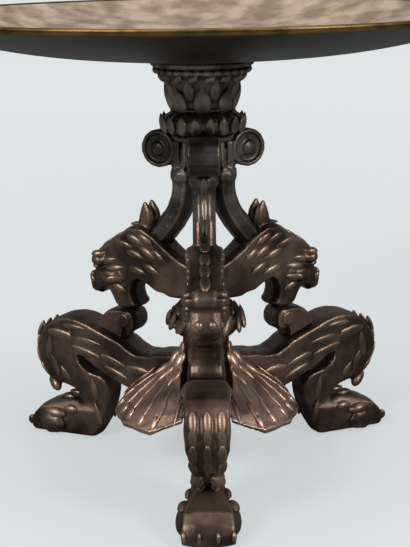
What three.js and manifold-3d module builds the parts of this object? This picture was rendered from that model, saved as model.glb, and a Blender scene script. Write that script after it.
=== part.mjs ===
// A cast bronze footed dish: a wide shallow bowl on a bell capital and a gadrooned collar,
// carried by three scrolled arms that end in eared beast heads, on three paw-footed legs
// with an apron leaf between each two. A central rod holds the stack together.
// Millimetres, +Z up, origin on the axis at the level of the soles.
// The side outlines of arms, beasts and legs are written as [radius, height] in the leg's plane.

import * as THREE from 'three';
import { mergeVertices } from 'three/addons/utils/BufferGeometryUtils.js';
import Module from 'manifold-3d';

const wasm = await Module();
wasm.setup();

// Fits
const gap = 0.3;
const slideFit = 0.15;

// Central rod with its nut and washer
const rodRadius = 3;
const rodBore = rodRadius + gap;
const washerRadius = 9;
const washerThickness = 1.6;
const nutAcross = 12;
const nutHeight = 5;

// Trunk and knop, from the bottom up
const trunkBottom = 25;
const trunkTop = 64;
const trunkRadius = 11;
const trunkFootRadius = 17;
const knopHeight = 15.5;
const knopRadius = 17.4;
const knopNeckRadius = 12.6;

// Upper stack
const hubBottom = 143;
const hubRadius = 8.6;
const hubHeight = 17;
const hubPlateRadius = 14.5;
const hubPlateThickness = 3;
const collarHeight = 10;
const collarRadius = 18.9;
const collarSeatRadius = 14;
const gadroons = 18;
const gadroonDepth = 1.1;
const capitalHeight = 19.5;
const capitalFootRadius = 13.2;
const capitalLipRadius = 21.6;
const leafLobes = 8;
const leafRelief = 0.7;
const beadBandHeight = 4.2;
const beadBandRadius = 24;
const beads = 20;
const beadDepth = 0.8;

// Bowl
const bowlRadius = 130;
const bowlRise = 18.4;
const bowlWall = 2.8;
const rimHeight = 2.4;
const rimWidth = 4;
const bossRadius = 7.5;
const bossHeight = 14;
const fieldRadius = 53;
const fieldStep = 0.9;

// Arms, beasts, legs and leaves
const voluteRadius = 9;
const voluteWidth = 15;
const voluteCentre = [20.5, 152.4];
const stemHalf = 5.5;
const stemRadiusFromAxis = 10.2;
const ringRadius = 7;
const ringHeight = 7.5;
const ringCentreHeight = 139.6;
const scrollWidth = 14.3;
const kneeWidth = 19.5;
const ankleWidth = 11;
const pawWidth = 28;
const browWidth = 22.4;
const muzzleWidth = 14;
const neckWidth = 17;
const chinRest = 71.5;
const soleLevel = 0;
const leafThickness = 2.4;
const pinRadius = 2;
const pinLength = 17;
const pinHeight = 38;
const pinInnerEnd = 6;
const legAngles = { left: 150, front: 270, right: 30 };

// Facets round a turn
const bowlFacets = 40;
const turnFacets = 24;
const smallFacets = 10;

// Stack levels worked out from the sizes above
const knopBottom = trunkTop + gap;
const knopTop = knopBottom + knopHeight;
const hubTop = hubBottom + hubHeight;
const collarBottom = hubTop + gap;
const collarTop = collarBottom + collarHeight;
const capitalBottom = collarTop + gap;
const capitalTop = capitalBottom + capitalHeight;
const bandBottom = capitalTop + gap;
const bandTop = bandBottom + beadBandHeight;
const bowlBottom = bandTop + gap;
const washerTop = trunkBottom - gap;
const washerBottom = washerTop - washerThickness;
const nutTop = washerBottom - gap;
const nutBottom = nutTop - nutHeight;
const rodBottom = nutBottom - 2;
const rodTop = bowlBottom - 3;

const darkBronze = { color: 0x4a3d33, roughness: 0.36, metalness: 0.85 };
const wornBronze = { color: 0x66523f, roughness: 0.4, metalness: 0.8 };
const goldBronze = { color: 0x8d7447, roughness: 0.42, metalness: 0.8 };
const steel = { color: 0x6f6d68, roughness: 0.5, metalness: 0.9 };

// Turning between three.js geometry and closed solids
function solidOf(geometry) {
  const bare = geometry.clone();
  bare.deleteAttribute('normal');
  bare.deleteAttribute('uv');
  const merged = mergeVertices(bare, 1e-4);
  const mesh = new wasm.Mesh({
    numProp: 3,
    vertProperties: new Float32Array(merged.attributes.position.array),
    triVerts: new Uint32Array(merged.index.array),
  });
  mesh.merge();
  return new wasm.Manifold(mesh);
}

function geometryOf(solid) {
  const mesh = solid.getMesh();
  const geometry = new THREE.BufferGeometry();
  geometry.setAttribute('position', new THREE.BufferAttribute(new Float32Array(mesh.vertProperties), 3));
  geometry.setIndex(new THREE.BufferAttribute(new Uint32Array(mesh.triVerts), 1));
  geometry.computeVertexNormals();
  return geometry;
}

// A turned body about +Z from a closed [radius, height] outline, with an optional ripple round it
function turned(profile, segments, ripple = null) {
  const count = profile.length;
  const positions = [];
  const index = [];
  for (let s = 0; s < segments; s += 1) {
    const angle = (s / segments) * Math.PI * 2;
    for (const [radius, height] of profile) {
      const r = ripple ? radius + ripple(radius, height, angle) : radius;
      positions.push(r * Math.cos(angle), r * Math.sin(angle), height);
    }
  }
  for (let s = 0; s < segments; s += 1) {
    const next = (s + 1) % segments;
    for (let p = 0; p < count; p += 1) {
      const q = (p + 1) % count;
      const a = s * count + p;
      const b = next * count + p;
      const c = next * count + q;
      const d = s * count + q;
      index.push(a, b, c, a, c, d);
    }
  }
  const geometry = new THREE.BufferGeometry();
  geometry.setAttribute('position', new THREE.Float32BufferAttribute(positions, 3));
  geometry.setIndex(index);
  return geometry;
}

// Rings of equal point counts joined into a tube with flat ends
function loft(rings) {
  const positions = [];
  const index = [];
  const count = rings[0].length;
  for (const ring of rings) {
    for (const point of ring) {
      positions.push(point.x, point.y, point.z);
    }
  }
  for (let k = 0; k + 1 < rings.length; k += 1) {
    for (let p = 0; p < count; p += 1) {
      const q = (p + 1) % count;
      const a = k * count + p;
      const b = k * count + q;
      const c = (k + 1) * count + q;
      const d = (k + 1) * count + p;
      index.push(a, b, c, a, c, d);
    }
  }
  const last = (rings.length - 1) * count;
  for (let p = 1; p + 1 < count; p += 1) {
    index.push(0, p + 1, p);
    index.push(last, last + p, last + p + 1);
  }
  const geometry = new THREE.BufferGeometry();
  geometry.setAttribute('position', new THREE.Float32BufferAttribute(positions, 3));
  geometry.setIndex(index);
  return geometry;
}

// A ball stretched to its three half sizes: radial, tangential and upward
function ball(radius, across, height, halfRadial, halfAcross, halfHeight, segments = 7) {
  const geometry = new THREE.SphereGeometry(1, segments, Math.round(segments * 0.7));
  geometry.scale(halfRadial, halfAcross, halfHeight);
  geometry.translate(radius, across, height);
  return solidOf(geometry);
}

// A plate cut to a side outline, its width set point by point and its edges rounded off
function sidePlate(outline, halfWidth, edge) {
  const shape = new THREE.Shape(outline.map(([r, z]) => new THREE.Vector2(r, z)));
  const geometry = new THREE.ExtrudeGeometry(shape, {
    depth: 1,
    steps: 1,
    bevelEnabled: true,
    bevelThickness: 0.5,
    bevelSize: edge,
    bevelOffset: -edge,
    bevelSegments: 1,
    curveSegments: 1,
  });
  const position = geometry.attributes.position;
  for (let i = 0; i < position.count; i += 1) {
    const r = position.getX(i);
    const z = position.getY(i);
    const across = position.getZ(i) - 0.5;
    position.setXYZ(i, r, -across * halfWidth(r, z), z);
  }
  return solidOf(geometry);
}

// A straight round bar along the radial direction
function radialBar(radius, from, to, height) {
  const geometry = new THREE.CylinderGeometry(radius, radius, to - from, smallFacets);
  geometry.rotateZ(-Math.PI / 2);
  geometry.translate((from + to) / 2, 0, height);
  return solidOf(geometry);
}

// The third of a turn that belongs to one leg, so that neighbours meet without touching
function sector(bottom, top) {
  const reach = 260;
  const start = slideFit * 2;
  const shape = new THREE.Shape([
    new THREE.Vector2(start, 0),
    new THREE.Vector2(start + reach, -reach * Math.tan(Math.PI / 3)),
    new THREE.Vector2(start + reach, reach * Math.tan(Math.PI / 3)),
  ]);
  const geometry = new THREE.ExtrudeGeometry(shape, { depth: top - bottom, bevelEnabled: false });
  geometry.translate(0, 0, bottom);
  return solidOf(geometry);
}

function rodWay(bottom, top) {
  const geometry = new THREE.CylinderGeometry(rodBore, rodBore, top - bottom, smallFacets);
  geometry.rotateX(Math.PI / 2);
  geometry.translate(0, 0, (bottom + top) / 2);
  return solidOf(geometry);
}

const smoothStep = (from, to, value) => THREE.MathUtils.smoothstep(value, from, to);
const mix = THREE.MathUtils.lerp;

// Bowl: shallow dished underside, upright rim band, a low raised field inside and a boss below
function bowlUnderside(radius) {
  const share = radius / bowlRadius;
  return bowlBottom + bowlRise * (0.46 * share ** 2 + 0.54 * share ** 4);
}

function bowl() {
  const rimTop = bowlUnderside(bowlRadius) + rimHeight;
  const inside = (radius) => bowlUnderside(radius) + bowlWall;
  const profile = [
    [0, rodTop + gap],
    [rodBore, rodTop + gap],
    [rodBore, bowlBottom - bossHeight],
    [bossRadius, bowlBottom - bossHeight],
    [bossRadius, bowlBottom],
  ];
  for (const radius of [40, 75, 105, bowlRadius - 0.6]) {
    profile.push([radius, bowlUnderside(radius)]);
  }
  profile.push([bowlRadius, rimTop - rimHeight + 0.6]);
  profile.push([bowlRadius, rimTop - 0.5]);
  profile.push([bowlRadius - 0.8, rimTop]);
  profile.push([bowlRadius - rimWidth, rimTop - 0.6]);
  for (const radius of [112, 84]) {
    profile.push([radius, inside(radius)]);
  }
  profile.push([fieldRadius + 2.5, inside(fieldRadius) + fieldStep]);
  profile.push([fieldRadius - 1.5, inside(fieldRadius) + fieldStep]);
  profile.push([fieldRadius - 3.5, inside(fieldRadius)]);
  profile.push([0, inside(0)]);
  const points = profile.map(([r, z]) => new THREE.Vector2(r, z));
  const geometry = new THREE.LatheGeometry(points, bowlFacets);
  geometry.rotateX(Math.PI / 2);
  return solidOf(geometry);
}

// Bell capital with leaf lobes round it
function bellCapital() {
  const h = capitalHeight;
  const at = (share) => capitalBottom + share * h;
  const bore = bossRadius + gap;
  const profile = [
    [bore, at(1)],
    [bore, at(0)],
    [capitalFootRadius, at(0)],
    [capitalFootRadius + 1.2, at(0.05)],
    [capitalFootRadius + 0.3, at(0.13)],
    [capitalFootRadius + 1.6, at(0.38)],
    [capitalFootRadius + 3.5, at(0.62)],
    [capitalFootRadius + 5.4, at(0.8)],
    [capitalLipRadius, at(0.92)],
    [capitalLipRadius, at(1)],
  ];
  const lobes = (radius, height, angle) => {
    const share = (height - capitalBottom) / h;
    const onSkin = radius > bore + 1 && share > 0.1 && share < 0.9;
    return onSkin ? leafRelief * Math.cos(leafLobes * angle) * Math.sin(Math.PI * share) : 0;
  };
  return solidOf(turned(profile, leafLobes * 4, lobes));
}

// Bead band between the capital and the bowl
function beadBand() {
  const bore = bossRadius + gap;
  const profile = [
    [bore, bandTop],
    [bore, bandBottom],
    [capitalLipRadius, bandBottom],
    [beadBandRadius - 0.6, bandBottom + 0.8],
    [beadBandRadius, bandBottom + beadBandHeight * 0.5],
    [beadBandRadius - 0.6, bandTop - 0.6],
    [beadBandRadius - 1.4, bandTop],
  ];
  const ripple = (radius, height, angle) => {
    const outer = radius > capitalLipRadius + 0.5 && height < bandTop - 0.3;
    return outer ? -beadDepth * (0.5 - 0.5 * Math.cos(beads * angle)) : 0;
  };
  return solidOf(turned(profile, beads * 2, ripple));
}

// Gadrooned collar
function gadroonCollar() {
  const half = collarHeight / 2;
  const middle = collarBottom + half;
  const profile = [
    [rodBore, collarTop],
    [rodBore, collarBottom],
    [collarSeatRadius, collarBottom],
  ];
  for (const degrees of [-60, -25, 10, 45, 75]) {
    const a = THREE.MathUtils.degToRad(degrees);
    const swell = collarRadius - collarSeatRadius;
    profile.push([collarSeatRadius + swell * Math.cos(a), middle + half * Math.sin(a)]);
  }
  profile.push([collarSeatRadius - 1, collarTop]);
  const ripple = (radius, height, angle) => {
    const outer = radius > collarSeatRadius + 1;
    return outer ? -gadroonDepth * (1 - Math.abs(Math.cos((gadroons * angle) / 2))) : 0;
  };
  return solidOf(turned(profile, gadroons * 2, ripple));
}

// Hub that the three arms stand round
function hub() {
  const plateBottom = hubTop - hubPlateThickness;
  const profile = [
    [rodBore, hubTop],
    [rodBore, hubBottom],
    [hubRadius - 2, hubBottom],
    [hubRadius, hubBottom + 2],
    [hubRadius, plateBottom],
    [hubPlateRadius - 1, plateBottom],
    [hubPlateRadius, plateBottom + 1],
    [hubPlateRadius, hubTop - 1],
    [hubPlateRadius - 1, hubTop],
  ];
  return solidOf(turned(profile, turnFacets));
}

// Knop: a swelling ring between two necks, ribbed like folded leaves
function knop() {
  const at = (share) => knopBottom + share * knopHeight;
  const profile = [
    [rodBore, at(1)],
    [rodBore, at(0)],
    [knopNeckRadius + 0.8, at(0)],
    [knopRadius - 2, at(0.16)],
    [knopRadius, at(0.36)],
    [knopRadius - 0.6, at(0.54)],
    [knopNeckRadius + 1.6, at(0.7)],
    [knopNeckRadius + 2, at(0.86)],
    [knopNeckRadius, at(1)],
  ];
  const ribs = 12;
  const ripple = (radius, height, angle) => (radius > knopRadius - 3 ? 0.5 * Math.cos(ribs * angle) : 0);
  return solidOf(turned(profile, ribs * 2, ripple));
}

// Trunk below the knop, from which the legs and leaves spring
const trunkProfile = (grow) => [
  [trunkRadius + grow, trunkTop],
  [trunkRadius + 0.4 + grow, trunkTop - 9],
  [trunkRadius + 2.4 + grow, trunkTop - 19],
  [trunkFootRadius - 1 + grow, trunkBottom + 10],
  [trunkFootRadius + grow, trunkBottom],
];

function trunk() {
  const profile = [[rodBore, trunkTop], [rodBore, trunkBottom], ...trunkProfile(0).reverse()];
  let solid = solidOf(turned(profile, turnFacets));
  for (const degrees of Object.values(legAngles)) {
    const hole = radialBar(pinRadius + slideFit, pinInnerEnd - gap, trunkFootRadius + 5, pinHeight);
    solid = solid.subtract(hole.rotate([0, 0, degrees]));
  }
  return solid;
}

function trunkRoom() {
  const profile = [[0.5, trunkTop + 4], [0.5, trunkBottom - 4]];
  const body = trunkProfile(gap).reverse();
  body[0][1] = trunkBottom - 4;
  body[body.length - 1][1] = trunkTop + 4;
  return solidOf(turned([...profile, ...body], turnFacets)).add(rodWay(trunkBottom - 4, trunkTop + 4));
}

// One arm: volute, its slab to the hub, moulded ring and the stem that bends out to the head
const stemPath = [
  [stemRadiusFromAxis, voluteCentre[1]],
  [stemRadiusFromAxis, ringCentreHeight],
  [stemRadiusFromAxis + 0.1, 131],
  [12.9, 123.4],
  [17.4, 116.4],
  [23, 110],
  [29, 104],
];

function stem(grow) {
  const curve = new THREE.CatmullRomCurve3(stemPath.map(([r, z]) => new THREE.Vector3(r, 0, z)));
  const steps = 9;
  const rings = [];
  const half = stemHalf + grow;
  const section = [[1, 0.5], [0.5, 1], [0, 0.86], [-0.5, 1], [-1, 0.5],
    [-1, -0.5], [-0.5, -1], [0, -0.86], [0.5, -1], [1, -0.5]];
  for (let k = 0; k <= steps; k += 1) {
    const share = k / steps;
    const centre = curve.getPointAt(share);
    const tangent = curve.getTangentAt(share);
    const side = new THREE.Vector3(-tangent.z, 0, tangent.x);
    rings.push(section.map(([u, v]) => {
      const point = centre.clone().addScaledVector(side, -u * half);
      point.y += v * half;
      return point;
    }));
  }
  return solidOf(loft(rings));
}

function volute() {
  const half = voluteWidth / 2;
  const eye = 3;
  const rim = voluteRadius - 1.8;
  const points = [
    [0, -half - 0.8], [eye, -half], [eye + 0.6, -half + 1.8], [rim - 0.5, -half + 1.8],
    [rim, -half], [voluteRadius, -half + 0.4], [voluteRadius, half - 0.4], [rim, half],
    [rim - 0.5, half - 1.8], [eye + 0.6, half - 1.8], [eye, half], [0, half + 0.8],
  ].map(([r, y]) => new THREE.Vector2(r, y));
  const geometry = new THREE.LatheGeometry(points, smallFacets + 4);
  geometry.translate(voluteCentre[0], 0, voluteCentre[1]);
  return solidOf(geometry);
}

function armRing() {
  const half = ringHeight / 2;
  const profile = [[0, -half], [ringRadius - 1.4, -half], [ringRadius, -half * 0.4],
    [ringRadius, half * 0.4], [ringRadius - 1.4, half], [0, half]];
  const geometry = new THREE.LatheGeometry(profile.map(([r, z]) => new THREE.Vector2(r, z)), smallFacets);
  geometry.rotateX(Math.PI / 2);
  geometry.translate(stemRadiusFromAxis, 0, ringCentreHeight);
  return solidOf(geometry);
}

function arm() {
  const [voluteR, voluteZ] = voluteCentre;
  const slab = [
    [hubRadius + gap, hubBottom + 2],
    [voluteR, voluteZ - 3],
    [voluteR, voluteZ + voluteRadius - 0.4],
    [hubRadius + gap + 3, hubTop - hubPlateThickness - gap],
    [hubRadius + gap, hubTop - hubPlateThickness - gap],
  ];
  const hubRoom = solidOf(turned([[0.5, hubTop + gap], [0.5, hubBottom - gap],
    [hubRadius + gap, hubBottom - gap], [hubRadius + gap, hubTop - hubPlateThickness - gap],
    [hubPlateRadius + gap, hubTop - hubPlateThickness - gap], [hubPlateRadius + gap, hubTop + gap]], turnFacets));
  return stem(0)
    .add(volute())
    .add(sidePlate(slab, () => voluteWidth / 2 - 1, 0.6))
    .add(armRing())
    .subtract(hubRoom)
    .intersect(sector(90, 170))
    .subtract(rodWay(90, 170));
}

// One beast: open-mouthed head with ears, and the neck that arches back to the knop
const beastOutline = [
  [36.8, 114.2], [42, 110.5], [47.6, 107.2], [53, 103.8], [57.2, 100.6], [59.6, 97.4], [60.4, 94.4],
  [59.2, 91.4], [61.8, 87.4], [63, 83.4], [61.4, 79.8], [57, 77.3], [54.8, 79.6], [52.4, 80.6],
  [50.4, 78.4], [49.2, 75.6], [48, 73.4], [46.2, chinRest], [39.4, chinRest], [35.6, chinRest + 1.2],
  [33.8, 74.6], [36, 77.3], [36.8, 80.6], [35.8, 84.8], [33.2, 87], [28.4, 85.2], [24, 82.2],
  [19.4, knopTop + 1.6], [17.6, knopTop + gap], [2, knopTop + gap], [2, 96.4], [9.6, 100.2],
  [17.3, 105.6], [23, 110.5], [30, 114.6],
];

function beastHalfWidth(r, z) {
  const neck = mix(neckWidth / 2 - 2, neckWidth / 2, smoothStep(8, 30, r));
  const head = mix(browWidth / 2 - 4, browWidth / 2 - 0.6, smoothStep(113, 98, z));
  const muzzle = mix(muzzleWidth / 2, head, smoothStep(83, 95, z - (r - 60) * 0.4));
  const jaw = mix(muzzleWidth / 2 - 0.5, muzzle, smoothStep(74, 86, z));
  return mix(neck, r > 46 ? muzzle : jaw, smoothStep(30, 44, r));
}

function ear(side) {
  const rings = [];
  const stations = [[31, 112.6, 4.6, 2.6], [30, 117.4, 4.7, 2.3], [30, 121.4, 3.6, 1.8], [30.8, 125.8, 0.9, 0.7]];
  for (const [r, z, halfR, halfT] of stations) {
    const ring = [];
    for (let k = 0; k < 6; k += 1) {
      const a = (k / 6) * Math.PI * 2;
      ring.push(new THREE.Vector3(r + halfR * Math.cos(a), side * 3 + halfT * Math.sin(a), z));
    }
    rings.push(ring);
  }
  return solidOf(loft(rings));
}

function beast() {
  let solid = sidePlate(beastOutline, beastHalfWidth, 1.6);
  for (const side of [-1, 1]) {
    solid = solid
      .add(ear(side))
      .add(ball(55.6, side * 6.4, 95.4, 4.6, 4.6, 3.6))
      .add(ball(49, side * 7.6, 88, 7, 3.4, 4.6))
      .add(ball(59.2, side * 3.6, 81.6, 3.4, 3.6, 3.6));
  }
  const knopRoom = solidOf(turned([[0.5, knopTop + gap], [0.5, knopBottom],
    [knopRadius + 1, knopBottom], [knopRadius + 1, knopTop - knopHeight * 0.3],
    [knopNeckRadius + 3, knopTop + gap]], turnFacets));
  return solid
    .subtract(stem(gap))
    .subtract(knopRoom)
    .intersect(sector(60, 135))
    .subtract(rodWay(60, 135));
}

// One leg: thigh, knee that hooks over, shank, spur and clawed paw
const thighSeat = [[44, 55.2], [58.6, 60.4]];
const legOutline = [
  [8, 54], [24.8, 51.9], [28.8, 50.6], [35, 50.3], [40, 52.4], ...thighSeat, [64, 62.5], [70, 64],
  [75.7, 64.2], [81, 63.2], [84.8, 61.5], [88.6, 58.4], [92, 54.3], [94.3, 49.5], [95.3, 45],
  [94.8, 41], [93.3, 36.2], [90.8, 30.8], [88.3, 26], [86, 24.6], [82.1, 26.3], [77, 25], [73.4, 23.6],
  [70.5, 20], [70.2, 17.8], [75, 19.6], [83, 19.6], [88, 17.2], [94, 14.4], [98, 10], [100, 5.8],
  [99.4, 2], [97.4, soleLevel], [64, soleLevel], [61.6, 3.6], [58.2, 9], [55.4, 15], [53, 21.6],
  [52.4, 26], [52.9, 29.6], [54.4, 33], [57.4, 35.2], [61, 35.9], [64.2, 37], [67.1, 39.4], [69.2, 42],
  [69.4, 44.2], [66.3, 43.4], [62.9, 41.2], [59.4, 39], [55.4, 37.2], [49, 34], [40, 31], [28, 29], [8, 29],
];

function legHalfWidth(r, z) {
  const thigh = kneeWidth / 2 - 0.8;
  const knee = kneeWidth / 2;
  const upper = mix(thigh, knee, smoothStep(50, 75, r));
  const shank = mix(ankleWidth / 2, knee - 1.4, smoothStep(22, 40, z));
  const paw = mix(ankleWidth / 2 + 1, pawWidth / 2 - 2.5, smoothStep(64, 84, r));
  const low = mix(paw, shank, smoothStep(12, 20, z));
  const inLowerLeg = r > 50 && z < 38;
  return inLowerLeg ? low : upper;
}

function leg() {
  let solid = sidePlate(legOutline, legHalfWidth, 0.9);
  const toes = [[-10.6, 86, 8.6], [-4, 90, 9.6], [4, 90, 9.6], [10.6, 86, 8.6]];
  for (const [across, r, reach] of toes) {
    solid = solid.add(ball(r, across, 6.4, reach, 3.7, 6.4));
  }
  for (const across of [-6, 0, 6]) {
    solid = solid.add(ball(91.2, across, 46, 4.6, 2.4, 13.5));
  }
  const pinHole = radialBar(pinRadius + slideFit, pinInnerEnd - gap, pinInnerEnd + pinLength + gap, pinHeight);
  return solid.subtract(trunkRoom()).intersect(sector(-5, 80)).subtract(pinHole);
}

// Scroll that stands on the thigh and touches the beast's chin
function kneeScroll() {
  const [[innerR, innerZ], [outerR, outerZ]] = thighSeat;
  const top = chinRest - gap;
  const outline = [
    [innerR, innerZ + gap + 0.3], [43.3, 59.5], [42.7, 61.3], [40.3, 60.2], [38.2, 60.4], [36.8, 62.2],
    [36.2, 65], [36.7, 68.2], [38.4, top - 0.5], [40, top], [47, top], [51, top - 0.7], [54.4, 68.6],
    [56.8, 66.2], [58.2, 63.4], [outerR - 0.2, outerZ + gap + 0.3],
  ];
  const eye = new THREE.CylinderGeometry(3.4, 3.4, scrollWidth + 2, 14);
  eye.translate(42.6, 0, 66);
  return sidePlate(outline, () => scrollWidth / 2, 0.8).add(solidOf(eye));
}

// Apron leaf: a flared sheet between two legs, with a lobed and slightly rolled tip
const leafSpine = [[12.8, 61.6], [14.2, 56.6], [17.2, 51.8], [21.6, 47.6], [27.4, 43.2], [34, 38.2],
  [39.6, 32.8], [43, 28.6], [46, 27.4]];

function leafPoint(share, side, depth) {
  const curve = leafPoint.curve;
  const lobe = 1 - 0.09 * side * side - 0.035 * (1 - Math.cos(side * Math.PI * 3)) * share;
  const t = Math.min(share * lobe, 1);
  const centre = curve.getPoint(t);
  const tangent = curve.getTangent(t);
  const radius = centre.x - depth * -tangent.y;
  const height = centre.y - depth * tangent.x;
  const room = Math.PI / 3 - Math.asin((kneeWidth / 2 + 0.6) / Math.max(radius, trunkRadius + 1.5));
  const spread = room * Math.min(1, 0.62 + 0.5 * share) * (share > 0.86 ? 1 - (share - 0.86) * 2.4 : 1);
  const angle = side * spread;
  return new THREE.Vector3(radius * Math.cos(angle), radius * Math.sin(angle), height);
}
leafPoint.curve = new THREE.SplineCurve(leafSpine.map(([r, z]) => new THREE.Vector2(r, z)));

function apronLeaf() {
  const along = 8;
  const across = 8;
  const rings = [];
  for (let k = 0; k <= along; k += 1) {
    const ring = [];
    for (let p = 0; p <= across; p += 1) {
      const side = (p / across) * 2 - 1;
      const vein = 0.5 * (1 - Math.abs(Math.sin(side * Math.PI * 2)));
      ring.push(leafPoint(k / along, side, -vein));
    }
    for (let p = across; p >= 0; p -= 1) {
      ring.push(leafPoint(k / along, (p / across) * 2 - 1, leafThickness));
    }
    rings.push(ring.reverse());
  }
  return loftStrip(rings).subtract(trunkRoom());
}

// Like loft, but its flat ends are closed as a strip between the two faces of the sheet
function loftStrip(rings) {
  const open = loft(rings);
  const count = rings[0].length;
  const half = count / 2;
  const last = (rings.length - 1) * count;
  const sideTriangles = (rings.length - 1) * count * 6;
  const index = Array.from(open.index.array.slice(0, sideTriangles));
  for (let p = 0; p + 1 < half; p += 1) {
    const a = p;
    const b = p + 1;
    const c = count - 2 - p;
    const d = count - 1 - p;
    index.push(a, c, b, a, d, c);
    index.push(last + a, last + b, last + c, last + a, last + c, last + d);
  }
  open.setIndex(index);
  return solidOf(open);
}

// Rod, washer, nut and pins
function tieRod() {
  const geometry = new THREE.CylinderGeometry(rodRadius, rodRadius, rodTop - rodBottom, smallFacets);
  geometry.rotateX(Math.PI / 2);
  geometry.translate(0, 0, (rodTop + rodBottom) / 2);
  return solidOf(geometry);
}

function washer() {
  return solidOf(turned([[rodBore, washerTop], [rodBore, washerBottom],
    [washerRadius, washerBottom], [washerRadius, washerTop]], smallFacets));
}

function nut() {
  const outer = new THREE.CylinderGeometry(nutAcross / Math.sqrt(3), nutAcross / Math.sqrt(3), nutHeight, 6);
  outer.rotateX(Math.PI / 2);
  outer.translate(0, 0, (nutTop + nutBottom) / 2);
  return solidOf(outer).subtract(rodWay(nutBottom - 1, nutTop + 1));
}

const legPin = () => radialBar(pinRadius, pinInnerEnd, pinInnerEnd + pinLength, pinHeight);

// Assembly
const model = new THREE.Group();

function place(name, solid, look, degrees = 0) {
  const mesh = new THREE.Mesh(geometryOf(solid), new THREE.MeshStandardMaterial(look));
  mesh.name = name;
  mesh.rotation.z = THREE.MathUtils.degToRad(degrees);
  model.add(mesh);
}

place('bowl', bowl(), goldBronze);
place('bead_band', beadBand(), darkBronze);
place('bell_capital', bellCapital(), darkBronze);
place('gadroon_collar', gadroonCollar(), darkBronze);
place('volute_hub', hub(), darkBronze);
place('knop', knop(), wornBronze);
place('trunk', trunk(), wornBronze);
place('tie_rod', tieRod(), steel);
place('rod_washer', washer(), steel);
place('rod_nut', nut(), steel);

const armSolid = arm();
const beastSolid = beast();
const legSolid = leg();
const scrollSolid = kneeScroll();
const leafSolid = apronLeaf();
const pinSolid = legPin();
for (const [name, degrees] of Object.entries(legAngles)) {
  place(`arm_${name}`, armSolid, darkBronze, degrees);
  place(`beast_${name}`, beastSolid, darkBronze, degrees);
  place(`leg_${name}`, legSolid, wornBronze, degrees);
  place(`knee_scroll_${name}`, scrollSolid, wornBronze, degrees);
  place(`leg_pin_${name}`, pinSolid, steel, degrees);
}
for (const [name, degrees] of [['front_left', 210], ['front_right', 330], ['back', 90]]) {
  place(`apron_leaf_${name}`, leafSolid, wornBronze, degrees);
}

export default model;
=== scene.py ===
"""Dresses a cast bronze footed dish: softened castings, chased lobes, patina, light and camera."""

import logging
import math
from dataclasses import dataclass
from enum import Enum

import bpy
from mathutils import Matrix, Vector


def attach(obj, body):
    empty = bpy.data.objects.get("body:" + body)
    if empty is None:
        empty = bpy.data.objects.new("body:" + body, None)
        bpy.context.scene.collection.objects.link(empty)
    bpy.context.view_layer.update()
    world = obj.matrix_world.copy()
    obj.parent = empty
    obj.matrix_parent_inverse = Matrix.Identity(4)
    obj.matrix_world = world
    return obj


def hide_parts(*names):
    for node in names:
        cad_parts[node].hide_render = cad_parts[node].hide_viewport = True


logging.basicConfig(level=logging.INFO, format="%(message)s")
log = logging.getLogger("footed_dish")

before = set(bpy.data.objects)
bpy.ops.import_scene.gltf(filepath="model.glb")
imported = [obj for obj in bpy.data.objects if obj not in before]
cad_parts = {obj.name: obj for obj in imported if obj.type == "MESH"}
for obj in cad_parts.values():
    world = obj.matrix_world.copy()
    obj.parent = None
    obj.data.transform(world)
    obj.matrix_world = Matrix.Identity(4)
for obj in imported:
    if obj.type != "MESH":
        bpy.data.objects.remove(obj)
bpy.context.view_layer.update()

MM = 0.001
LEG_TURNS = {"left": 150.0, "front": 270.0, "right": 30.0}
LEAF_TURNS = {"front_left": 210.0, "front_right": 330.0, "back": 90.0}
STEEL_NODES = ("tie_rod", "rod_washer", "rod_nut", "leg_pin_left", "leg_pin_front", "leg_pin_right")

Triple = tuple[float, float, float]
Profile = list[tuple[float, float]]

# Directions in the plane of one leg: out from the axis, across it, and up
INWARD = Vector((-1.0, 0.0, 0.0))
OUTWARD = Vector((1.0, 0.0, 0.0))
DOWN = Vector((0.0, 0.0, -1.0))


class Slot(Enum):
    """The record's material slots."""

    DARK = "dark_bronze"
    WORN = "worn_bronze"
    DISH = "dish_bronze"
    STEEL = "rod_steel"


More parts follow.
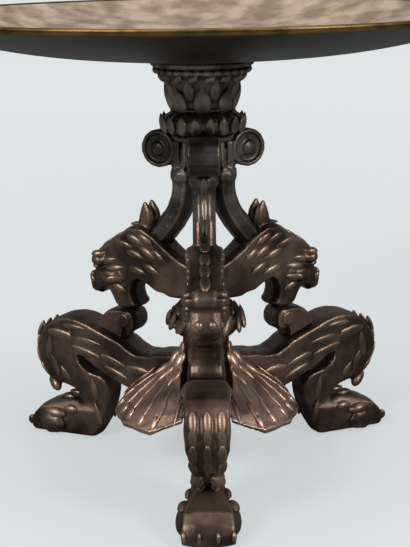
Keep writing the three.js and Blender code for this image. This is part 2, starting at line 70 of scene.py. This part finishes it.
@dataclass(frozen=True)
class ShaderTree:
    """Short ways to add and link the nodes of one material or world."""

    tree: bpy.types.NodeTree

    def add(self, kind: str) -> bpy.types.Node:
        """Returns a new node of a kind."""
        return self.tree.nodes.new(kind)

    def link(self, source: bpy.types.NodeSocket, target: bpy.types.NodeSocket) -> None:
        """Links an output to an input."""
        self.tree.links.new(source, target)

    def object_place(self) -> bpy.types.NodeSocket:
        """Returns the Object coordinates."""
        return self.add("ShaderNodeTexCoord").outputs["Object"]

    def camera_ray(self) -> bpy.types.NodeSocket:
        """Returns 1 for what the camera sees directly and 0 for the rest."""
        return self.add("ShaderNodeLightPath").outputs["Is Camera Ray"]

    def noise(self, place: bpy.types.NodeSocket, scale: float,
              detail: float) -> bpy.types.NodeSocket:
        """Adds a noise texture.

        Args:
            place: the coordinates that it reads.
            scale: how fine it is, per metre.
            detail: how many finer layers it has.

        Returns:
            Its value, from 0 to 1.
        """
        noise = self.add("ShaderNodeTexNoise")
        noise.inputs["Scale"].default_value = scale
        noise.inputs["Detail"].default_value = detail
        self.link(place, noise.inputs["Vector"])
        return noise.outputs[0]

    def stretch(self, value: bpy.types.NodeSocket, source: tuple[float, float] = (0.0, 1.0),
                target: tuple[float, float] = (0.0, 1.0)) -> bpy.types.NodeSocket:
        """Maps a value from one range to another and holds it inside.

        Args:
            value: the value to map.
            source: the range that it is read in.
            target: the range that comes out.

        Returns:
            The mapped value.
        """
        spread = self.add("ShaderNodeMapRange")
        spread.inputs["From Min"].default_value, spread.inputs["From Max"].default_value = source
        spread.inputs["To Min"].default_value, spread.inputs["To Max"].default_value = target
        self.link(value, spread.inputs["Value"])
        return spread.outputs[0]

    def product(self, first: bpy.types.NodeSocket,
                second: bpy.types.NodeSocket) -> bpy.types.NodeSocket:
        """Returns two values multiplied."""
        times = self.add("ShaderNodeMath")
        times.operation = "MULTIPLY"
        self.link(first, times.inputs[0])
        self.link(second, times.inputs[1])
        return times.outputs[0]

    def blend(self, factor: bpy.types.NodeSocket, under: bpy.types.NodeSocket | Triple,
              over: Triple) -> bpy.types.NodeSocket:
        """Blends two colours.

        Args:
            factor: how much of the upper colour shows.
            under: the lower colour, fixed or linked.
            over: the upper colour.

        Returns:
            The blended colour.
        """
        mix = self.add("ShaderNodeMix")
        mix.data_type = "RGBA"
        self.link(factor, mix.inputs["Factor"])
        if isinstance(under, tuple):
            mix.inputs[6].default_value = (*under, 1.0)
        else:
            self.link(under, mix.inputs[6])
        mix.inputs[7].default_value = (*over, 1.0)
        return mix.outputs[2]


@dataclass(frozen=True)
class BronzeFinish:
    """A patinated metal: a deep tone and a body tone mixed in random blotches, and a worn tone on
    the edges.

    Scales are per metre and the grain's depth is in metres.
    """

    name: str
    slot: Slot
    deep: Triple
    body: Triple
    worn: Triple
    metallic: float = 0.9
    gloss: tuple[float, float] = (0.3, 0.5)
    blotch_scale: float = 55.0
    blotch_detail: float = 5.0
    blotch_range: tuple[float, float] = (0.4, 0.62)
    grain_scale: float = 900.0
    grain_detail: float = 3.0
    grain_depth: float = 0.00012
    grain_strength: float = 0.7
    edge_range: tuple[float, float] = (0.505, 0.56)
    rub_range: tuple[float, float] = (0.25, 0.6)

    def material(self) -> bpy.types.Material:
        """Returns the node material, made once and then reused."""
        known = bpy.data.materials.get(self.name)
        if known:
            return known
        made = bpy.data.materials.new(self.name)
        made.use_nodes = True
        tree = ShaderTree(made.node_tree)
        shader = made.node_tree.nodes["Principled BSDF"]
        shader.inputs["Metallic"].default_value = self.metallic
        place = tree.object_place()
        blotch = tree.noise(place, self.blotch_scale, self.blotch_detail)
        grain = tree.noise(place, self.grain_scale, self.grain_detail)
        tone = tree.blend(tree.stretch(blotch, self.blotch_range), self.deep, self.body)
        pointiness = tree.add("ShaderNodeNewGeometry").outputs["Pointiness"]
        rubbed = tree.product(tree.stretch(pointiness, self.edge_range),
                              tree.stretch(blotch, self.rub_range))
        tree.link(tree.blend(rubbed, tone, self.worn), shader.inputs["Base Color"])
        tree.link(tree.stretch(blotch, target=self.gloss), shader.inputs["Roughness"])
        bump = tree.add("ShaderNodeBump")
        bump.inputs["Distance"].default_value = self.grain_depth
        bump.inputs["Strength"].default_value = self.grain_strength
        tree.link(grain, bump.inputs["Height"])
        tree.link(bump.outputs[0], shader.inputs["Normal"])
        return made


DARK_BRONZE = BronzeFinish(
    "dark_patina", Slot.DARK, (0.06, 0.051, 0.043), (0.2, 0.168, 0.138), (0.38, 0.3, 0.23))
WORN_BRONZE = BronzeFinish(
    "worn_patina", Slot.WORN, (0.06, 0.038, 0.029), (0.19, 0.125, 0.093), (0.4, 0.28, 0.2))
LEAF_BRONZE = BronzeFinish(
    "leaf_patina", Slot.WORN, (0.22, 0.145, 0.115), (0.52, 0.35, 0.27), (0.68, 0.46, 0.34))
# The dish's faces below: its bronze tone, darkened with painted shade
DISH_UNDER_PAINTED_SHADE = BronzeFinish(
    "dish_underside_painted_shade", Slot.DISH, (0.036, 0.032, 0.025), (0.08, 0.07, 0.053), (0.22, 0.14, 0.05),
    blotch_scale=25.0)
# The dish's faces that look up: its bronze tone, made pale with painted light and painted
# reflection
DISH_INSIDE_PAINTED_LIGHT = BronzeFinish(
    "dish_inside_painted_light", Slot.DISH, (0.23, 0.165, 0.11), (0.44, 0.345, 0.255), (0.5, 0.38, 0.23),
    metallic=0.15, gloss=(0.6, 0.8), blotch_scale=70.0, grain_scale=420.0, grain_depth=0.0006)
RIM_GOLD = BronzeFinish(
    "rim_gold", Slot.DISH, (0.045, 0.028, 0.012), (0.12, 0.075, 0.028), (0.24, 0.15, 0.05),
    blotch_scale=90.0)
ROD_STEEL = BronzeFinish(
    "turned_steel", Slot.STEEL, (0.08, 0.078, 0.072), (0.16, 0.155, 0.145), (0.3, 0.29, 0.27))


def choose_only(piece: bpy.types.Object) -> None:
    """Makes one object the only one that is selected, and active."""
    bpy.ops.object.select_all(action="DESELECT")
    piece.select_set(True)
    bpy.context.view_layer.objects.active = piece


def settle(piece: bpy.types.Object, finish: BronzeFinish) -> bpy.types.Object:
    """Gives a finished piece its smooth shading, material and body.

    Args:
        piece: the finished mesh object, in place.
        finish: the metal finish that it takes.

    Returns:
        The same object.
    """
    choose_only(piece)
    bpy.ops.object.transform_apply(location=True, rotation=True, scale=True)
    bpy.ops.object.shade_smooth()
    piece.data.materials.clear()
    piece.data.materials.append(finish.material())
    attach(piece, "root")
    return piece


@dataclass(frozen=True)
class Casting:
    """One cast piece: the solid's own form, closed up and softened as metal from a mould is.

    The voxel is in millimetres.
    """

    node: str
    finish: BronzeFinish
    voxel: float
    softening: int
    soft_factor: float = 0.5
    merge_gap: float = 0.00001

    def build(self) -> bpy.types.Object:
        """Returns the softened casting, standing for its node."""
        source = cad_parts[self.node]
        piece = bpy.data.objects.new(f"{self.node}_casting", source.data.copy())
        bpy.context.scene.collection.objects.link(piece)
        choose_only(piece)
        bpy.ops.object.mode_set(mode="EDIT")
        bpy.ops.mesh.select_all(action="SELECT")
        bpy.ops.mesh.remove_doubles(threshold=self.merge_gap)
        bpy.ops.object.mode_set(mode="OBJECT")
        remesh = piece.modifiers.new("close", "REMESH")
        remesh.mode = "VOXEL"
        remesh.voxel_size = self.voxel * MM
        soft = piece.modifiers.new("soften", "SMOOTH")
        soft.factor = self.soft_factor
        soft.iterations = self.softening
        for modifier in list(piece.modifiers):
            bpy.ops.object.modifier_apply(modifier=modifier.name)
        settle(piece, self.finish)
        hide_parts(self.node)
        return piece


@dataclass(frozen=True)
class TurnedDish:
    """The wide dish, spun from its profile in so many steps that its rim is truly round.

    All sizes are in millimetres. The two pair lists are (inset, drop) from the rim's outer top
    corner, and (outward, rise) from the crest line of the ring round the inner field.
    """

    radius: float = 130.0
    base_height: float = 194.9
    rise: float = 18.4
    wall: float = 2.8
    rim_height: float = 2.4
    rim_width: float = 4.0
    rim_lip: tuple[tuple[float, float], ...] = (
        (0.0, 1.9), (0.15, 1.2), (0.0, 0.7), (0.4, 0.15), (1.2, 0.0), (3.4, 0.1), (4.0, 0.7))
    boss_radius: float = 7.5
    boss_height: float = 14.0
    bore_radius: float = 3.3
    bore_depth: float = 8.0
    field_radius: float = 53.0
    field_bead: tuple[tuple[float, float], ...] = (
        (2.5, 0.2), (1.6, 0.9), (0.0, 1.0), (-1.8, 0.8), (-3.0, 0.0))
    under_radii: range = range(20, 130, 6)
    inner_radii: tuple[float, ...] = (122, 116, 110, 103, 96, 89, 82, 75, 68, 61, 57)
    field_radii: tuple[float, ...] = (44, 36, 28, 20, 12, 5)
    steps: int = 180
    merge_gap: float = 0.000005
    upward_share: float = 0.2

    def underside(self, radius: float) -> float:
        """Returns the height of the underside at a radius."""
        share = radius / self.radius
        return self.base_height + self.rise * (0.46 * share**2 + 0.54 * share**4)

    def inside(self, radius: float) -> float:
        """Returns the height of the inner face at a radius."""
        return self.underside(radius) + self.wall

    def outline(self) -> Profile:
        """Returns the profile from the axis below, round the rim, to the axis above."""
        rim_top = self.underside(self.radius) + self.rim_height
        boss_foot = self.base_height - self.boss_height
        field_height = self.inside(self.field_radius)
        below_rim = self.radius - 0.5
        return [
            (self.bore_radius, boss_foot + self.bore_depth), (self.bore_radius, boss_foot),
            (self.boss_radius, boss_foot), (self.boss_radius, self.base_height),
            *((r, self.underside(r)) for r in self.under_radii),
            (below_rim, self.underside(below_rim)),
            *((self.radius - inset, rim_top - drop) for inset, drop in self.rim_lip),
            *((r, self.inside(r)) for r in self.inner_radii),
            *((self.field_radius + out, field_height + up) for out, up in self.field_bead),
            *((r, self.inside(r)) for r in self.field_radii),
        ]

    def spun(self) -> bpy.types.Object:
        """Returns the closed dish: one point, drawn out along the profile and spun."""
        points = self.outline()
        bpy.ops.object.select_all(action="DESELECT")
        bpy.ops.mesh.primitive_plane_add(size=MM)
        piece = bpy.context.active_object
        piece.name = "dish"
        bpy.ops.object.mode_set(mode="EDIT")
        bpy.ops.mesh.merge(type="CENTER")
        bpy.ops.transform.translate(value=(points[0][0] * MM, 0.0, points[0][1] * MM))
        for (r0, z0), (r1, z1) in zip(points, points[1:]):
            bpy.ops.mesh.extrude_region_move(
                TRANSFORM_OT_translate={"value": ((r1 - r0) * MM, 0.0, (z1 - z0) * MM)})
        bpy.ops.mesh.select_all(action="SELECT")
        bpy.ops.mesh.spin(steps=self.steps, angle=math.tau, center=(0, 0, 0), axis=(0, 0, 1))
        bpy.ops.mesh.select_all(action="SELECT")
        bpy.ops.mesh.remove_doubles(threshold=self.merge_gap)
        bpy.ops.mesh.select_all(action="DESELECT")
        bpy.ops.mesh.select_non_manifold()
        bpy.ops.mesh.edge_face_add()
        bpy.ops.mesh.select_all(action="SELECT")
        bpy.ops.mesh.normals_make_consistent(inside=False)
        bpy.ops.object.mode_set(mode="OBJECT")
        return piece

    def build(self) -> list[bpy.types.Object]:
        """Returns the dish: dark below with painted shade, worn gold on its rim, and pale inside
        with painted light and reflection.
        """
        piece = settle(self.spun(), DISH_UNDER_PAINTED_SHADE)
        piece.data.materials.append(DISH_INSIDE_PAINTED_LIGHT.material())
        piece.data.materials.append(RIM_GOLD.material())
        # Faces that look up take the pale copy, painted light and reflection; the rest keep the
        # dark copy, painted shade
        for face in piece.data.polygons:
            if face.center.xy.length > (self.radius - self.rim_width) * MM:
                face.material_index = 2
            elif face.normal.z > self.upward_share:
                face.material_index = 1
        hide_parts("bowl")
        return [piece]


@dataclass(frozen=True)
class Mark:
    """One chased lobe: where a probe starts, which way it looks, and how the lobe lies.

    Places are (out, across, up) in millimetres in the plane of one leg, before it is turned. The
    size is (length, width, thickness) in millimetres, and the turn is in degrees.
    """

    start: Vector
    look: Vector
    heading: Vector
    size: Triple
    turn: float


@dataclass(frozen=True)
class FlankLobe:
    """One lobe that is laid on both flanks of a beast or leg.

    Sizes are in millimetres and the lean is in degrees, from straight outward.
    """

    out: float
    up: float
    lean: float
    length: float
    width: float
    thickness: float
    probe: float = 40.0

    def mark(self, turn: float, side: float) -> Mark:
        """Gives the lobe's mark on one flank.

        Args:
            turn: the limb's turn in degrees.
            side: -1 or 1 for the flank.

        Returns:
            The mark.
        """
        lean = math.radians(self.lean)
        return Mark(Vector((self.out, side * self.probe, self.up)), Vector((0.0, -side, 0.0)),
                    Vector((math.cos(lean), 0.0, math.sin(lean))),
                    (self.length, self.width, self.thickness), turn)


@dataclass(frozen=True)
class RingRow:
    """Lobes set evenly round the axis at one height.

    Sizes are in millimetres. The lean is in degrees, with 90 for upright, and so is the offset.
    """

    count: int
    height: float
    size: Triple
    lean: float = 90.0
    offset: float = 0.0
    probe: float = 60.0

    def marks(self) -> list[Mark]:
        """Returns the row's marks."""
        lean = math.radians(self.lean)
        heading = Vector((0.0, math.cos(lean), math.sin(lean)))
        return [Mark(Vector((self.probe, 0.0, self.height)), INWARD, heading, self.size,
                     self.offset + k * 360.0 / self.count) for k in range(self.count)]


@dataclass(frozen=True)
class Relief:
    """Teardrop lobes, modelled once, copied, and laid on the surface of one casting."""

    name: str
    finish: BronzeFinish
    marks: list[Mark]
    taper: tuple[tuple[float, float], ...] = ((0.0, 0.9), (0.2, 0.8), (0.33, 0.7), (0.44, 0.5))
    curl: Triple = (0.0, 0.02, 0.035)

    def master(self) -> bpy.types.Object:
        """Returns the lobe that is copied: one unit long, round at its foot, its tip curled."""
        bpy.ops.object.select_all(action="DESELECT")
        bpy.ops.mesh.primitive_uv_sphere_add(segments=14, ring_count=10, radius=0.5,
                                             rotation=(0.0, math.pi / 2, 0.0))
        lobe = bpy.context.active_object
        bpy.ops.object.transform_apply(location=True, rotation=True, scale=True)
        for past, shrink in self.taper:
            bpy.ops.object.mode_set(mode="EDIT")
            bpy.ops.mesh.select_all(action="DESELECT")
            bpy.ops.object.mode_set(mode="OBJECT")
            for vertex in lobe.data.vertices:
                vertex.select = vertex.co.x > past
            bpy.ops.object.mode_set(mode="EDIT")
            bpy.ops.transform.resize(value=(1.0, shrink, shrink), center_override=(0.0, 0.0, 0.0))
            bpy.ops.transform.translate(value=self.curl)
            bpy.ops.object.mode_set(mode="OBJECT")
        return lobe

    @staticmethod
    def landing(mark: Mark, target: bpy.types.Object) -> Matrix | None:
        """Finds where a mark's probe lands and how its lobe lies there.

        Args:
            mark: the mark to place.
            target: the casting that the lobe lies on, with its place in its vertices.

        Returns:
            The lobe's matrix, or None where the probe misses.
        """
        turn = Matrix.Rotation(math.radians(mark.turn), 3, "Z")
        landed, place, normal, _ = target.ray_cast(turn @ (mark.start * MM), turn @ mark.look)
        if not landed:
            return None
        heading = turn @ mark.heading
        along = (heading - normal * heading.dot(normal)).normalized()
        basis = Matrix((along, normal.cross(along), normal)).transposed().to_4x4()
        scale = Matrix.Diagonal((*(value * MM for value in mark.size), 1.0))
        return Matrix.Translation(place) @ basis @ scale

    def build(self, target: bpy.types.Object) -> bpy.types.Object:
        """Lays the lobes on a casting.

        Args:
            target: the casting that the lobes lie on.

        Returns:
            All the lobes as one piece.
        """
        lobe = self.master()
        made = []
        for mark in self.marks:
            matrix = self.landing(mark, target)
            if matrix is None:
                continue
            copied = lobe.copy()
            copied.data = lobe.data.copy()
            bpy.context.scene.collection.objects.link(copied)
            copied.matrix_world = matrix
            made.append(copied)
        bpy.data.objects.remove(lobe)
        bpy.ops.object.select_all(action="DESELECT")
        for copied in made:
            copied.select_set(True)
        bpy.context.view_layer.objects.active = made[0]
        bpy.ops.object.transform_apply(location=True, rotation=True, scale=True)
        bpy.ops.object.join()
        made[0].name = self.name
        return settle(made[0], self.finish)


SIDES = (-1.0, 1.0)

# Brow, eye, crest and cheek tufts, then the mane in rows, then the nose wing
BEAST_LOBES = (
    FlankLobe(55.2, 98.6, 160, 7.5, 4.2, 3.6), FlankLobe(56.6, 92.6, 150, 4.2, 2.6, 2.6),
    FlankLobe(50.0, 95.5, 165, 9.0, 4.0, 2.6), FlankLobe(46.0, 92.5, 170, 10.0, 4.4, 3.0),
    FlankLobe(44.0, 87.5, 188, 10.0, 4.4, 3.0), FlankLobe(43.5, 82.5, 205, 9.0, 4.0, 2.6),
    FlankLobe(40.0, 104.5, 196, 10.0, 4.4, 2.8), FlankLobe(34.0, 107.5, 205, 10.0, 4.4, 2.8),
    FlankLobe(28.0, 108.0, 212, 9.0, 4.2, 2.8), FlankLobe(34.0, 100.0, 200, 11.0, 4.6, 2.8),
    FlankLobe(27.0, 101.5, 210, 10.0, 4.4, 2.8), FlankLobe(21.0, 101.0, 215, 9.0, 4.0, 2.6),
    FlankLobe(32.5, 92.5, 195, 11.0, 4.6, 2.8), FlankLobe(25.0, 94.0, 205, 10.0, 4.4, 2.6),
    FlankLobe(59.5, 85.5, 60, 4.6, 3.0, 2.4),
)
# Thigh leaf and strokes, then the knee and the shank
LEG_LOBES = (
    FlankLobe(78.0, 54.0, 190, 18.0, 6.0, 2.8), FlankLobe(62.0, 53.0, 186, 15.0, 3.6, 2.2),
    FlankLobe(64.0, 47.5, 192, 17.0, 3.6, 2.2), FlankLobe(48.0, 45.0, 196, 15.0, 4.2, 2.2),
    FlankLobe(46.0, 39.0, 200, 15.0, 3.6, 2.2), FlankLobe(33.0, 42.0, 184, 14.0, 5.0, 2.2),
    FlankLobe(87.0, 46.0, 100, 14.0, 4.4, 2.4), FlankLobe(84.5, 37.0, 75, 12.0, 3.8, 2.2),
    FlankLobe(79.0, 33.0, 60, 9.0, 3.8, 2.2), FlankLobe(61.0, 27.0, 80, 12.0, 3.6, 2.0),
    FlankLobe(60.0, 14.0, 75, 12.0, 3.6, 2.0), FlankLobe(71.0, 59.5, 182, 13.0, 3.4, 2.2),
)


@dataclass(frozen=True)
class StemStack:
    """The castings on the axis below the dish: capital, band, collar, hub, knob and core."""

    capital_rows: tuple[RingRow, ...] = (
        RingRow(8, 176.0, (15.0, 8.6, 4.6)),
        RingRow(8, 180.5, (12.0, 6.4, 3.8), offset=22.5),
        RingRow(16, 186.2, (6.0, 4.4, 3.0), lean=60.0, offset=11.0),
        RingRow(30, 189.3, (3.6, 3.2, 2.4), lean=0.0),
    )
    gadroons: RingRow = RingRow(18, 165.2, (9.0, 5.2, 3.2))
    knob_leaves: RingRow = RingRow(14, 72.0, (13.0, 5.0, 3.4), lean=50.0)
    tongue_height: float = 152.5
    tongue_probe: float = 60.0
    tongue_spread: tuple[float, ...] = (-5.2, 0.0, 5.2)
    tongue_size: Triple = (17.0, 4.4, 3.2)

    def tongues(self) -> list[Mark]:
        """Returns the leaf strokes on the face of each scroll of the hub."""
        return [Mark(Vector((self.tongue_probe, across, self.tongue_height)), INWARD, DOWN,
                     self.tongue_size, turn)
                for turn in LEG_TURNS.values() for across in self.tongue_spread]

    def build(self) -> list[bpy.types.Object]:
        """Returns the castings of the stack and the ornament on them."""
        capital = Casting("bell_capital", DARK_BRONZE, 0.4, 14).build()
        leaves = [mark for row in self.capital_rows for mark in row.marks()]
        capital_leaves = Relief("capital_leaves", DARK_BRONZE, leaves).build(capital)
        band = Casting("bead_band", DARK_BRONZE, 0.35, 4).build()
        collar = Casting("gadroon_collar", DARK_BRONZE, 0.4, 8).build()
        gadroons = Relief("collar_gadroons", DARK_BRONZE, self.gadroons.marks()).build(collar)
        hub = Casting("volute_hub", DARK_BRONZE, 0.45, 14).build()
        tongues = Relief("volute_tongues", DARK_BRONZE, self.tongues()).build(hub)
        knob = Casting("knop", WORN_BRONZE, 0.4, 14).build()
        knob_leaves = Relief("knop_leaves", WORN_BRONZE, self.knob_leaves.marks()).build(knob)
        core = Casting("trunk", WORN_BRONZE, 0.5, 12).build()
        return [capital, capital_leaves, band, collar, gadroons, hub, tongues, knob, knob_leaves,
                core]


@dataclass(frozen=True)
class Limb:
    """One stem with its beast, leg and scroll, all in one plane through the axis.

    All sizes are in millimetres, and the turn is in degrees.
    """

    side: str
    turn: float
    ridge_probe: float = 70.0
    ridge_heights: tuple[float, ...] = (136.0, 127.0, 119.0)
    ridge_size: Triple = (13.0, 3.4, 2.0)
    mane_probe: float = 140.0
    mane_reaches: tuple[float, ...] = (36.0, 42.0, 48.0, 54.0)
    mane_size: Triple = (10.0, 5.0, 2.0)
    nose_probe: float = 90.0
    nose_height: float = 86.0
    nose_spread: tuple[float, ...] = (-3.0, 3.0)
    nose_size: Triple = (5.0, 4.0, 3.0)
    knee_probe: float = 130.0
    flute_spread: tuple[float, ...] = (-6.0, 0.0, 6.0)
    flute_heights: tuple[float, ...] = (54.0, 47.0, 40.0, 33.0)
    flute_size: Triple = (11.0, 4.2, 2.4)
    toes: tuple[tuple[float, float], ...] = (
        (-10.4, 84.0), (-4.0, 88.0), (4.0, 88.0), (10.4, 84.0))
    knuckle_probe: float = 40.0
    knuckle_size: Triple = (12.0, 6.2, 6.0)
    back_knuckle_probe: float = 22.0
    back_knuckle_size: Triple = (8.0, 4.6, 3.6)
    back_knuckle_step: float = 8.0
    back_knuckle_pinch: float = 0.8
    claw_probe: float = 120.0
    claw_height: float = 5.6
    claw_size: Triple = (5.4, 2.6, 4.2)

    def ridge(self) -> list[Mark]:
        """Returns the moulding down the outer face of the stem."""
        heading = Vector((0.1, 0.0, -1.0))
        return [Mark(Vector((self.ridge_probe, 0.0, height)), INWARD, heading, self.ridge_size,
                     self.turn) for height in self.ridge_heights]

    def locks(self) -> list[Mark]:
        """Returns the beast's brows, tufts and mane, and the pads of its nose."""
        heading = Vector((-1.0, 0.0, 0.2))
        flanks = [lobe.mark(self.turn, side) for side in SIDES for lobe in BEAST_LOBES]
        mane = [Mark(Vector((out, 0.0, self.mane_probe)), DOWN, heading, self.mane_size, self.turn)
                for out in self.mane_reaches]
        nose = [Mark(Vector((self.nose_probe, across, self.nose_height)), INWARD, DOWN,
                     self.nose_size, self.turn) for across in self.nose_spread]
        return flanks + mane + nose

    def paw(self) -> list[Mark]:
        """Returns the two tiers of knuckles and the claws."""
        knuckle_heading = Vector((1.0, 0.0, -0.2))
        claw_heading = Vector((0.2, 0.0, -1.0))
        front = [Mark(Vector((out, across, self.knuckle_probe)), DOWN, knuckle_heading,
                      self.knuckle_size, self.turn) for across, out in self.toes]
        back = [Mark(Vector((out - self.back_knuckle_step, across * self.back_knuckle_pinch,
                             self.back_knuckle_probe)), DOWN, OUTWARD, self.back_knuckle_size,
                     self.turn) for across, out in self.toes]
        claws = [Mark(Vector((self.claw_probe, across, self.claw_height)), INWARD, claw_heading,
                      self.claw_size, self.turn) for across, _ in self.toes]
        return front + back + claws

    def chasing(self) -> list[Mark]:
        """Returns the strokes on the leg's flanks, the flutes of its knee, and its paw."""
        flanks = [lobe.mark(self.turn, side) for side in SIDES for lobe in LEG_LOBES]
        flutes = [Mark(Vector((self.knee_probe, across, height)), INWARD, DOWN, self.flute_size,
                       self.turn) for across in self.flute_spread
                  for height in self.flute_heights]
        return flanks + flutes + self.paw()

    def build(self) -> list[bpy.types.Object]:
        """Returns the stem, beast, leg and scroll, and the ornament on them."""
        side = self.side
        arm = Casting(f"arm_{side}", DARK_BRONZE, 0.4, 18).build()
        ridge = Relief(f"stem_ridge_{side}", DARK_BRONZE, self.ridge()).build(arm)
        beast = Casting(f"beast_{side}", WORN_BRONZE, 0.45, 24).build()
        locks = Relief(f"beast_locks_{side}", WORN_BRONZE, self.locks()).build(beast)
        leg = Casting(f"leg_{side}", WORN_BRONZE, 0.5, 26).build()
        chasing = Relief(f"leg_chasing_{side}", WORN_BRONZE, self.chasing()).build(leg)
        scroll = Casting(f"knee_scroll_{side}", WORN_BRONZE, 0.4, 14).build()
        return [arm, ridge, beast, locks, leg, chasing, scroll]


@dataclass(frozen=True)
class VeinRow:
    """Lobes across a hanging leaf, all the same way down its slope.

    Sizes are in millimetres, and the swings are in degrees from the leaf's middle.
    """

    out: float
    up: float
    swings: tuple[float, ...]
    size: Triple


@dataclass(frozen=True)
class HangingLeaf:
    """One leaf that hangs between two legs, with its small upper leaves, veins and lobed edge."""

    place: str
    turn: float
    probe: float = 30.0
    slope: tuple[float, float] = (0.77, -0.64)
    rows: tuple[VeinRow, ...] = (
        VeinRow(16.0, 53.0, (-26, -9, 9, 26), (9.0, 5.2, 3.0)),
        VeinRow(22.0, 47.6, (-34, -17, 0, 17, 34), (12.0, 4.6, 2.6)),
        VeinRow(30.0, 41.4, (-36, -24, -12, 0, 12, 24, 36), (14.0, 1.9, 1.2)),
        VeinRow(37.0, 35.6, (-38, -26, -13, 0, 13, 26, 38), (12.0, 2.4, 1.4)),
        VeinRow(41.5, 31.0, (-36, -24, -12, 0, 12, 24, 36), (7.5, 4.4, 2.2)),
    )

    def marks(self) -> list[Mark]:
        """Returns the marks of every row, probed square to the leaf's slope."""
        run, fall = self.slope
        look = Vector((fall, 0.0, -run))
        heading = Vector((run, 0.0, fall))
        return [Mark(Vector((row.out, 0.0, row.up)) - look * self.probe, look, heading, row.size,
                     self.turn + swing) for row in self.rows for swing in row.swings]

    def build(self) -> list[bpy.types.Object]:
        """Returns the leaf and its veins."""
        leaf = Casting(f"apron_leaf_{self.place}", LEAF_BRONZE, 0.42, 8).build()
        veins = Relief(f"leaf_veins_{self.place}", LEAF_BRONZE, self.marks()).build(leaf)
        return [leaf, veins]


@dataclass(frozen=True)
class Lamp:
    """One square soft lamp, with its place and side in metres and its power in watts."""

    name: str
    place: Triple
    side: float
    power: float
    aim: Triple = (0.0, 0.0, 0.08)

    def hang(self) -> None:
        """Hangs the lamp so that it looks at the object."""
        data = bpy.data.lights.new(self.name, "AREA")
        data.size = self.side
        data.energy = self.power
        lamp = bpy.data.objects.new(self.name, data)
        lamp.location = self.place
        look = Vector(self.aim) - Vector(self.place)
        lamp.rotation_euler = look.to_track_quat("-Z", "Y").to_euler()
        bpy.context.scene.collection.objects.link(lamp)


@dataclass(frozen=True)
class Studio:
    """The pale floor, the soft lamps and the camera at the photograph's angle.

    Lengths are in metres and angles in degrees.
    """

    floor_side: float = 80.0
    floor_colour: Triple = (0.24, 0.25, 0.255)
    floor_glow: Triple = (0.95, 0.99, 1.0)
    glow_reach: tuple[float, float] = (0.3, 1.6)
    glow_strength: tuple[float, float] = (0.53, 0.7)
    room_colour: Triple = (0.79, 0.82, 0.84)
    room_strength: tuple[float, float] = (0.3, 0.93)
    lamps: tuple[Lamp, ...] = (
        Lamp("key_left", (-0.7, -0.9, 0.8), 0.35, 9.0),
        Lamp("key_right", (0.8, -0.8, 0.7), 0.3, 7.0),
        Lamp("top_soft", (0.0, -0.1, 1.5), 1.2, 11.0),
    )
    camera_place: Triple = (0.0, -0.5835, 0.2452)
    camera_pitch: float = 14.605
    camera_roll: float = -0.81
    focal_px: float = 1273.8
    photo_height_px: int = 547
    sensor_width: float = 36.0
    clip: tuple[float, float] = (0.01, 200.0)

    def floor(self) -> None:
        """Lays a wide matt floor that the camera sees pale and that keeps the soft shadow."""
        bpy.ops.object.select_all(action="DESELECT")
        bpy.ops.mesh.primitive_plane_add(size=self.floor_side)
        floor = bpy.context.active_object
        floor.name = "floor"
        pale = bpy.data.materials.new("pale_floor")
        pale.use_nodes = True
        shader = pale.node_tree.nodes["Principled BSDF"]
        shader.inputs["Base Color"].default_value = (*self.floor_colour, 1.0)
        shader.inputs["Roughness"].default_value = 0.85
        shader.inputs["Specular IOR Level"].default_value = 0.1
        shader.inputs["Emission Color"].default_value = (*self.floor_glow, 1.0)
        tree = ShaderTree(pale.node_tree)
        away = tree.add("ShaderNodeVectorMath")
        away.operation = "LENGTH"
        tree.link(tree.object_place(), away.inputs[0])
        glow = tree.stretch(away.outputs["Value"], self.glow_reach, self.glow_strength)
        tree.link(tree.product(glow, tree.camera_ray()), shader.inputs["Emission Strength"])
        floor.data.materials.append(pale)

    def light(self) -> None:
        """Sets the world, dimmer on the object than behind it, and hangs the lamps."""
        world = bpy.data.worlds.new("soft_room")
        world.use_nodes = True
        back = world.node_tree.nodes["Background"]
        back.inputs["Color"].default_value = (*self.room_colour, 1.0)
        tree = ShaderTree(world.node_tree)
        strength = tree.stretch(tree.camera_ray(), target=self.room_strength)
        tree.link(strength, back.inputs["Strength"])
        bpy.context.scene.world = world
        for lamp in self.lamps:
            lamp.hang()

    def camera(self) -> None:
        """Creates the camera from its place, pitch and roll, level with the axis ahead."""
        data = bpy.data.cameras.new("view")
        data.sensor_width = self.sensor_width
        data.lens = self.focal_px / self.photo_height_px * self.sensor_width
        data.clip_start, data.clip_end = self.clip
        camera = bpy.data.objects.new("view", data)
        pitch = math.radians(self.camera_pitch)
        roll = math.radians(self.camera_roll)
        ahead = Vector((0.0, math.cos(pitch), -math.sin(pitch)))
        right = Vector((1.0, 0.0, 0.0))
        above = right.cross(ahead)
        right_rolled = right * math.cos(roll) + above * math.sin(roll)
        above_rolled = above * math.cos(roll) - right * math.sin(roll)
        turn = Matrix((right_rolled, above_rolled, -ahead)).transposed().to_4x4()
        camera.matrix_world = Matrix.Translation(self.camera_place) @ turn
        bpy.context.scene.collection.objects.link(camera)
        bpy.context.scene.camera = camera
        bpy.context.scene.view_settings.view_transform = "Standard"

    def build(self) -> None:
        """Sets up the camera, the floor and the light."""
        self.camera()
        self.floor()
        self.light()


def dress_steel() -> list[bpy.types.Object]:
    """Returns the rod, washer, nut and pins, which stay as they are and take their steel."""
    dressed = []
    for node in STEEL_NODES:
        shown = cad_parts[node]
        shown.data.materials.clear()
        shown.data.materials.append(ROD_STEEL.material())
        dressed.append(shown)
    return dressed


def main() -> None:
    """Builds the studio and every sub-assembly in order, and reports each piece."""
    Studio().build()
    parts = [TurnedDish(), StemStack()]
    parts += [Limb(side, turn) for side, turn in LEG_TURNS.items()]
    parts += [HangingLeaf(place, turn) for place, turn in LEAF_TURNS.items()]
    for part in parts:
        for piece in part.build():
            log.info("%s: %d faces", piece.name, len(piece.data.polygons))
    for piece in dress_steel():
        log.info("%s: dressed as it is", piece.name)


if __name__ == "__main__":
    main()
